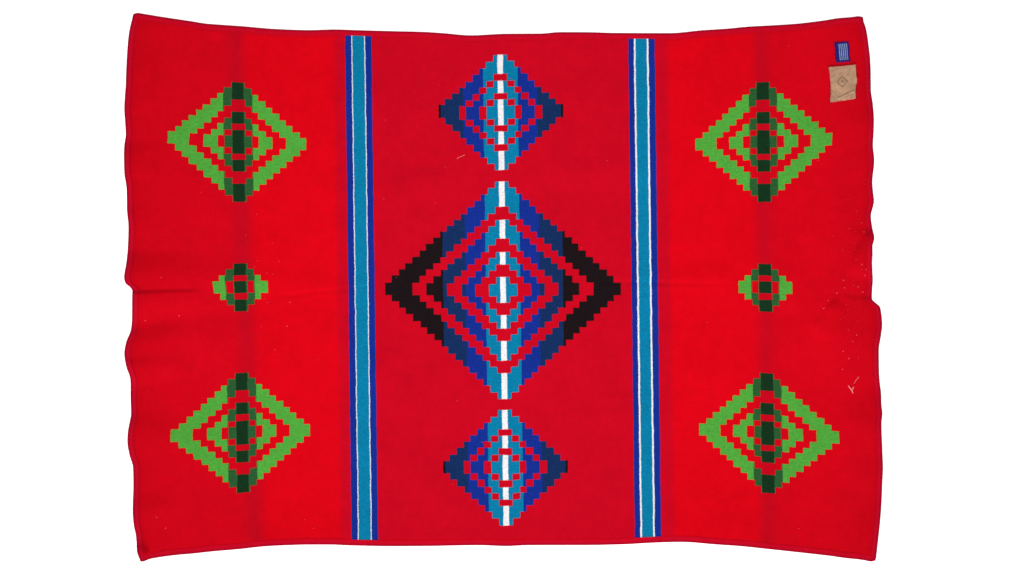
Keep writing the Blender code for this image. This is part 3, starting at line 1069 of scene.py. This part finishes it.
def make_panel():
    columns = lines_of(FINE_COLUMNS)
    rows = lines_of(FINE_ROWS)

    def place(column, row):
        along, up = columns[column], rows[row]
        x, y, rise = lay(along, up)
        return x, y, rise + edge_rise(along, up)

    def flat(column, row):
        return columns[column], rows[row]

    panel = grid_piece("panel_cloth", len(columns) - 1, len(rows) - 1, place, CLOTH_THICKNESS, flat)
    shown(panel, wool_material("wool_face"))
    panel.data.materials.append(wool_material("wool_back", reverse=True))
    facing = np.empty(len(panel.data.polygons) * 3)
    panel.data.polygons.foreach_get("normal", facing)
    panel.data.polygons.foreach_set("material_index", (facing[2::3] < -0.5).astype(int))
    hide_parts("cloth_panel")
    return panel


def binding_section(side):
    """The inner face of the folded felt, from the lower flap to the stitched edge. Columns: out, height."""
    lower = FELT_THICKNESS
    upper = FELT_THICKNESS + CLOTH_THICKNESS + 2 * GAP + TILT_ROOM
    middle, half = (lower + upper) / 2, (upper - lower) / 2
    turns = np.radians(np.linspace(-90, 90, 9))
    nose = np.stack(
        (GAP + (FOLD_REACH - GAP) * np.cos(turns), middle + half * np.sin(turns)), axis=1
    )
    lower_flap = np.linspace(-FLAP_DEPTH, GAP, 4)[:-1]
    upper_flap = np.linspace(GAP, -FLAP_DEPTH - FLAP_EXTRA[side], 5)[1:]
    below = np.stack((lower_flap, np.full(3, lower)), axis=1)
    above = np.stack((upper_flap, np.full(4, upper)), axis=1)
    above[-1, 1] -= SEAM_PRESS
    return np.concatenate((below, nose, above))


def across_edge(side, out):
    """The flat coordinate across an edge, for a distance out from it."""
    far = {"right": PANEL_LENGTH, "top": PANEL_WIDTH}.get(side)
    return -out if far is None else far + out


def on_edge(side, along, out):
    """The laid place of a point that far along an edge and out from it."""
    across = across_edge(side, out)
    return lay(along, across) if side in ("bottom", "top") else lay(across, along)


def make_binding(side, bands):
    """One felt strip, folded over an edge and cut on the mitre at both ends."""
    section = binding_section(side)
    lines = lines_of(bands)
    length = lines[-1]
    eased = BINDING_WIDTH + MITRE_EASE
    inner_lines = lines[(lines > eased) & (lines < length - eased)]
    columns = len(inner_lines) - 1 + 2 * MITRE_CELLS
    towards_top = side in ("right", "bottom")
    run = np.concatenate(([0], np.cumsum(np.hypot(*np.diff(section, axis=0).T))))
    fold_at = run[np.argmax(section[:, 0])]

    def along_at(column, out):
        """The place along the edge, easing from the mitre to the even lines."""
        start, end = MITRE_GAP - out, length - MITRE_GAP + out
        along = inner_lines[np.clip(column - MITRE_CELLS, 0, len(inner_lines) - 1)]
        along = start + (along - start) * np.clip(column / MITRE_CELLS, 0, 1)
        return end + (along - end) * np.clip((columns - column) / MITRE_CELLS, 0, 1)

    def place(column, row):
        out, height = section[row if towards_top else len(section) - 1 - row].T
        x, y, rise = on_edge(side, along_at(column, out), out)
        return x, y, rise + height

    def flat(column, row):
        return along_at(column, 0), (run - fold_at)[row if towards_top else len(section) - 1 - row]

    strip = grid_piece(f"felt_{side}", columns, len(section) - 1, place, FELT_THICKNESS, flat)
    shown(strip, felt_material(side))
    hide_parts(f"binding_{side}")
    return strip


def make_binding_stitches(side, length, thread):
    """A zigzag of thread along the upper flap's inner edge."""
    count = int((length - 4 * EDGE_BAND) / STITCH_PITCH * 2)
    along = 2 * EDGE_BAND + np.arange(count) * STITCH_PITCH / 2
    swing = np.where(np.arange(count) % 2 == 0, 0.0, STITCH_WIDTH)
    x, y, rise = on_edge(side, along, swing + SEAM_INSET - FLAP_DEPTH - FLAP_EXTRA[side])
    top = 2 * FELT_THICKNESS + CLOTH_THICKNESS + 2 * GAP + TILT_ROOM
    height = top + THREAD_RADIUS * 0.6 - np.where(swing > 0, 0, SEAM_PRESS * 0.8)
    run = np.stack((x + OFFSET_X, y + OFFSET_Y, rise + height), axis=1)
    stitches = thread_piece(f"binding_thread_{side}", [run], THREAD_RADIUS)
    return shown(stitches, thread)


def turned(across, upward, at, turn):
    """A piece's own place, turned and moved to where it lies on the cloth."""
    x = at[0] + across * math.cos(turn) - upward * math.sin(turn)
    y = at[1] + across * math.sin(turn) + upward * math.cos(turn)
    return x, y


def label_place(across, upward):
    """A laid place on the label, for shares across and up it, with its sides a little drawn."""
    width, height, _ = LABEL_SIZE
    across, upward = across - 0.5, upward - 0.5
    draw = LABEL_DRAW * np.sin(upward * 9) * np.abs(2 * across) ** 3
    return turned(across * width + draw, upward * height, LABEL_PLACE, LABEL_TURN)


def make_label():
    columns, rows = 20, 28
    width, height, thickness = LABEL_SIZE

    def place(column, row):
        across, upward = column / columns, row / rows
        x, y = label_place(across, upward)
        lift = LABEL_WAVE * (1 + np.sin(upward * 14 - 6) * np.sin(across * math.pi))
        return x, y, face_height(x, y) + GAP + lift

    def flat(column, row):
        return column / columns * width, row / rows * height

    label = grid_piece("label_ribbon", columns, rows, place, thickness, flat)
    shown(label, label_material())
    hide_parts("woven_label")
    return label


def patch_place(across, upward):
    """A laid place on the patch, for shares across and up it, with its bowed side and uneven cut."""
    lower_left, lower_right, upper_left, upper_right = np.array(PATCH_CORNERS)
    across, upward = across[:, None], upward[:, None]
    lower = lower_left * (1 - across) + lower_right * across
    upper = upper_left * (1 - across) + upper_right * across
    x, y = (lower * (1 - upward) + upper * upward).T
    across, upward = across[:, 0], upward[:, 0]
    bow = PATCH_BULGE * across**2 * np.exp(-(((upward - 0.54) / 0.15) ** 2))
    bow = bow + PATCH_HOLLOW * (1 - across) * np.sin(math.pi * upward)
    ragged = RAGGED_CUT * (np.sin(23 * upward + 2) + np.sin(59 * upward + 5 * across))
    x = x + bow + ragged * np.abs(2 * across - 1) ** 4
    ragged = RAGGED_CUT * (np.sin(19 * across + 1) + np.sin(47 * across + 4 * upward))
    y = y + ragged * np.abs(2 * upward - 1) ** 4
    return x, y


def make_patch():
    columns, rows = 60, 76
    width, height, thickness = PATCH_SIZE

    def place(column, row):
        x, y = patch_place(column / columns, row / rows)
        buckle = PATCH_BUCKLE * (2 + np.sin(x * 95 + y * 60) + np.sin(x * 40 - y * 85 + 1))
        lift = buckle + sum(fold_rise(x, y, crease) for crease in PATCH_CREASES)
        return x, y, face_height(x, y) + GAP + lift

    def flat(column, row):
        return column / columns * width, row / rows * height

    patch = grid_piece("patch_leather", columns, rows, place, thickness, flat)
    shown(patch, leather_material())
    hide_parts("leather_patch")
    return patch


def lint_run(x, y, heading, bend, length):
    """One short fibre on the cloth, from its start place."""
    share = np.arange(6) / 5
    angle = heading + bend * share
    xs = x + length * share * np.cos(angle)
    ys = y + length * share * np.sin(angle)
    z = face_height(xs, ys) + LINT_RADIUS * 0.7
    return np.stack((xs + OFFSET_X, ys + OFFSET_Y, z), axis=1)


def make_lint(pink, pale):
    """Short fibres caught on the nap, some in small tufts, and a few paler single fibres."""
    chance = np.random.default_rng(LINT_SEED)
    runs = []
    for at_x, at_y, spread_x, spread_y, count, shortest, longest in LINT_PATCHES:
        for _ in range(count):
            x = np.clip(chance.normal(at_x, spread_x), *LINT_ALONG)
            y = np.clip(chance.normal(at_y, spread_y), *LINT_ACROSS)
            heading, bend = chance.uniform(0, 2 * math.pi), chance.normal(0, 0.5)
            runs.append(lint_run(x, y, heading, bend, chance.uniform(shortest, longest)))
    for x, y, reach in TUFTS:
        for strand in range(TUFT_STRANDS):
            heading = 2 * math.pi * (strand + chance.uniform(0, 0.7)) / TUFT_STRANDS
            bend = chance.normal(0, 1.0)
            runs.append(lint_run(x, y, heading, bend, reach * chance.uniform(0.6, 1)))
    lint = [shown(thread_piece("lint_fibres", runs, LINT_RADIUS), pink)]
    for index, (radius, places) in enumerate(FIBRES):
        xs, ys = np.array(places).T
        z = face_height(xs, ys) + radius * 0.7
        run = np.stack((xs + OFFSET_X, ys + OFFSET_Y, z), axis=1)
        lint.append(shown(thread_piece(f"fibre_{index}", [run], radius), pale))
    return lint


def make_edge_stitches(name, place, top, size, thread):
    """Overcast thread round a sewn piece. place(share across, share up) gives a laid place on it."""
    width, height, _ = size
    count = int(2 * (width + height) / EDGE_STITCH_PITCH / 4) * 4
    share = np.arange(count + 1) / count * 4
    side = np.minimum(share.astype(int), 3)
    part = share - side
    across = np.choose(side, (part, np.ones(count + 1), 1 - part, np.zeros(count + 1)))
    upward = np.choose(side, (np.zeros(count + 1), part, np.ones(count + 1), 1 - part))
    inside = np.arange(count + 1) % 2 == 0
    swing_x = 1 + np.where(inside, -1, 1) * 2 * EDGE_STITCH_REACH / width
    swing_y = 1 + np.where(inside, -1, 1) * 2 * EDGE_STITCH_REACH / height
    x, y = place(0.5 + (across - 0.5) * swing_x, 0.5 + (upward - 0.5) * swing_y)
    z = face_height(x, y) + np.where(inside, top, 0) + THREAD_RADIUS
    run = np.stack((x + OFFSET_X, y + OFFSET_Y, z), axis=1)
    return shown(thread_piece(name, [run], EDGE_THREAD_RADIUS), thread)


def make_blanket():
    panel = make_panel()
    crimson = thread_material("thread_crimson", THREAD_CRIMSON)
    pieces = []
    for side, bands, length in (
        ("left", FINE_ROWS, PANEL_WIDTH),
        ("right", FINE_ROWS, PANEL_WIDTH),
        ("bottom", FINE_COLUMNS, PANEL_LENGTH),
        ("top", FINE_COLUMNS, PANEL_LENGTH),
    ):
        pieces.append(make_binding(side, bands))
        pieces.append(make_binding_stitches(side, length, crimson))
    pieces.append(make_label())
    pieces.append(make_patch())
    for name, place, top, size, colour, node_slot in (
        ("label_thread", label_place, LABEL_TOP, LABEL_SIZE, THREAD_BLUE, "label"),
        ("patch_thread", patch_place, PATCH_TOP, PATCH_SIZE, DARK_THREAD_AND_SHADOW, "leather"),
    ):
        thread = thread_material(name, colour)
        pieces.append(make_edge_stitches(name, place, top, size, thread))
    pieces += make_lint(
        thread_material("lint_pink", LINT_PINK), thread_material("lint_pale", LINT_PALE)
    )


# Studio


def make_floor():
    bpy.ops.mesh.primitive_grid_add(x_subdivisions=2, y_subdivisions=2, size=FLOOR_SIZE)
    floor = bpy.context.object
    floor.name = "floor"
    floor.location.z = -FLOOR_DROP
    floor.data.materials.append(floor_material())


def aim(thing, place, target):
    """Puts a light at a place, facing a target."""
    run = np.array(target, dtype=float) - np.array(place, dtype=float)
    flat_run = math.hypot(run[0], run[1])
    thing.location = place
    thing.rotation_euler = (math.atan2(flat_run, -run[2]), 0, math.atan2(-run[0], run[1]))


def make_light(name, kind, place, target, strength):
    data = bpy.data.lights.new(name, kind)
    data.energy = strength
    light = bpy.data.objects.new(name, data)
    bpy.context.scene.collection.objects.link(light)
    aim(light, place, target)
    return data


def make_studio():
    make_floor()
    key = make_light("key", "SUN", KEY_PLACE, (0, 0, 0), KEY_STRENGTH)
    key.angle = KEY_SOFTNESS
    overhead = make_light("overhead", "AREA", LAMP_PLACE, LAMP_TARGET, LAMP_STRENGTH)
    overhead.size = LAMP_SIZE
    world = bpy.data.worlds.new("studio")
    bpy.context.scene.world = world
    world.use_nodes = True
    background = world.node_tree.nodes["Background"]
    background.inputs["Color"].default_value = PURE_WHITE
    background.inputs["Strength"].default_value = WORLD_STRENGTH
    bpy.context.scene.view_settings.view_transform = "Standard"


def make_camera():
    data = bpy.data.cameras.new("camera")
    data.lens = CAMERA_LENS
    data.sensor_width = SENSOR_WIDTH
    camera = bpy.data.objects.new("camera", data)
    bpy.context.scene.collection.objects.link(camera)
    distance = FRAME_WIDTH * CAMERA_LENS / SENSOR_WIDTH
    camera.location = (VIEW_CENTRE[0] + OFFSET_X, VIEW_CENTRE[1] + OFFSET_Y, distance)
    bpy.context.scene.camera = camera


make_studio()
make_camera()
make_blanket()
